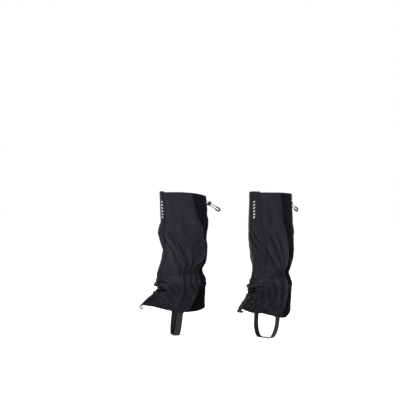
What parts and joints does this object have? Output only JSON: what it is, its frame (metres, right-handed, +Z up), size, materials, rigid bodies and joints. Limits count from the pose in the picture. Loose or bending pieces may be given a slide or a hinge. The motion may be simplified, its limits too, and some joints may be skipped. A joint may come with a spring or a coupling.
{
  "type": "pair of hiking gaiters",
  "caption": "Pair of knee-high nylon hiking gaiters with front storm flap, drawcord hem, elastic ankle, lace hook and instep strap.",
  "frame": {"origin": "on the ground midway between the wearer's two legs, at the height of the instep straps' underside", "axes": "+Z up the leg, toes towards -Y, the wearer's left towards +X"},
  "size_m": [0.322, 0.4965, 0.468],
  "materials": {
    "shell_cloth": "matte coated nylon ripstop",
    "boot_cloth": "matte coarse coated nylon",
    "lining": "smooth coated inner face",
    "closure_tape": "hook and loop tape",
    "elastic": "knitted elastic",
    "cord": "braided elastic cord",
    "webbing": "woven webbing",
    "moulded": "moulded black plastic",
    "hook_metal": "black coated steel",
    "spring_steel": "drawn wire"
  },
  "bodies": {
    "right_gaiter": {"right_calf_panel_outer": "shell_cloth", "right_calf_panel_inner": "shell_cloth", "right_calf_panel_rear": "shell_cloth", "right_boot_panel_outer": "boot_cloth", "right_boot_panel_inner": "boot_cloth", "right_heel_panel": "boot_cloth", "right_front_placket": "shell_cloth", "right_flap_lower": "shell_cloth", "right_hook_tape": "closure_tape", "right_loop_tape_lower": "closure_tape", "right_top_hem_facing": "lining", "right_lower_hem_facing": "lining", "right_ankle_elastic": "elastic", "right_drawcord_loop": "cord", "right_drawcord_in_hem_outer": "cord", "right_drawcord_in_hem_inner": "cord", "right_cord_pull": "moulded", "right_instep_strap": "webbing", "right_ladder_lock": "moulded", "right_strap_tab": "webbing", "right_strap_anchor_patch": "lining", "right_lace_hook_tab": "webbing"},
    "right_flap": {"right_flap_upper": "shell_cloth", "right_loop_tape_upper": "closure_tape"},
    "right_cord_lock": {"right_cord_lock_body": "moulded", "right_cord_lock_spring": "spring_steel"},
    "right_lock_plunger": {"right_cord_lock_plunger": "moulded"},
    "right_lace_hook": {"right_lace_hook": "hook_metal"},
    "left_gaiter": {"left_calf_panel_outer": "shell_cloth", "left_calf_panel_inner": "shell_cloth", "left_calf_panel_rear": "shell_cloth", "left_boot_panel_outer": "boot_cloth", "left_boot_panel_inner": "boot_cloth", "left_heel_panel": "boot_cloth", "left_front_placket": "shell_cloth", "left_flap_lower": "shell_cloth", "left_hook_tape": "closure_tape", "left_loop_tape_lower": "closure_tape", "left_top_hem_facing": "lining", "left_lower_hem_facing": "lining", "left_ankle_elastic": "elastic", "left_drawcord_loop": "cord", "left_drawcord_in_hem_outer": "cord", "left_drawcord_in_hem_inner": "cord", "left_cord_pull": "moulded", "left_instep_strap": "webbing", "left_ladder_lock": "moulded", "left_strap_tab": "webbing", "left_strap_anchor_patch": "lining", "left_lace_hook_tab": "webbing"},
    "left_flap": {"left_flap_upper": "shell_cloth", "left_loop_tape_upper": "closure_tape"},
    "left_cord_lock": {"left_cord_lock_body": "moulded", "left_cord_lock_spring": "spring_steel"},
    "left_lock_plunger": {"left_cord_lock_plunger": "moulded"},
    "left_lace_hook": {"left_lace_hook": "hook_metal"}
  },
  "joints": [
    {"name": "right_flap_hinge", "type": "hinge", "parent": "right_gaiter", "child": "right_flap", "pos_m": [-0.09035, -0.18943, 0.4], "axis": [0, 0, 1], "range_deg": [0, 100]},
    {"name": "right_lock_slide", "type": "slide", "parent": "right_gaiter", "child": "right_cord_lock", "axis": [0.2195, 0.8192, -0.5299], "range_m": [0, 0.012]},
    {"name": "right_plunger_press", "type": "slide", "parent": "right_cord_lock", "child": "right_lock_plunger", "axis": [0.9659, -0.2588, 0], "range_m": [0, 0.0014], "stiffness_N_per_m": 600, "springref_m": -0.001, "deforming": ["right_cord_lock_spring"]},
    {"name": "right_hook_swing", "type": "hinge", "parent": "right_gaiter", "child": "right_lace_hook", "pos_m": [-0.13074, -0.24975, 0.09908], "axis": [0.9659, -0.2588, 0], "range_deg": [-25, 35]},
    {"name": "left_flap_hinge", "type": "hinge", "parent": "left_gaiter", "child": "left_flap", "pos_m": [0.09035, 0.03957, 0.4], "axis": [0, 0, -1], "range_deg": [0, 100]},
    {"name": "left_lock_slide", "type": "slide", "parent": "left_gaiter", "child": "left_cord_lock", "axis": [-0.2195, 0.8192, -0.5299], "range_m": [0, 0.012]},
    {"name": "left_plunger_press", "type": "slide", "parent": "left_cord_lock", "child": "left_lock_plunger", "axis": [-0.9659, -0.2588, 0], "range_m": [0, 0.0014], "stiffness_N_per_m": 600, "springref_m": -0.001, "deforming": ["left_cord_lock_spring"]},
    {"name": "left_hook_swing", "type": "hinge", "parent": "left_gaiter", "child": "left_lace_hook", "pos_m": [0.13074, -0.02075, 0.09908], "axis": [0.9659, 0.2588, 0], "range_deg": [-25, 35]},
    {"name": "gaiters_apart", "type": "slide", "parent": "right_gaiter", "child": "left_gaiter", "axis": [1, 0, 0], "range_m": [0, 0.15]}
  ]
}
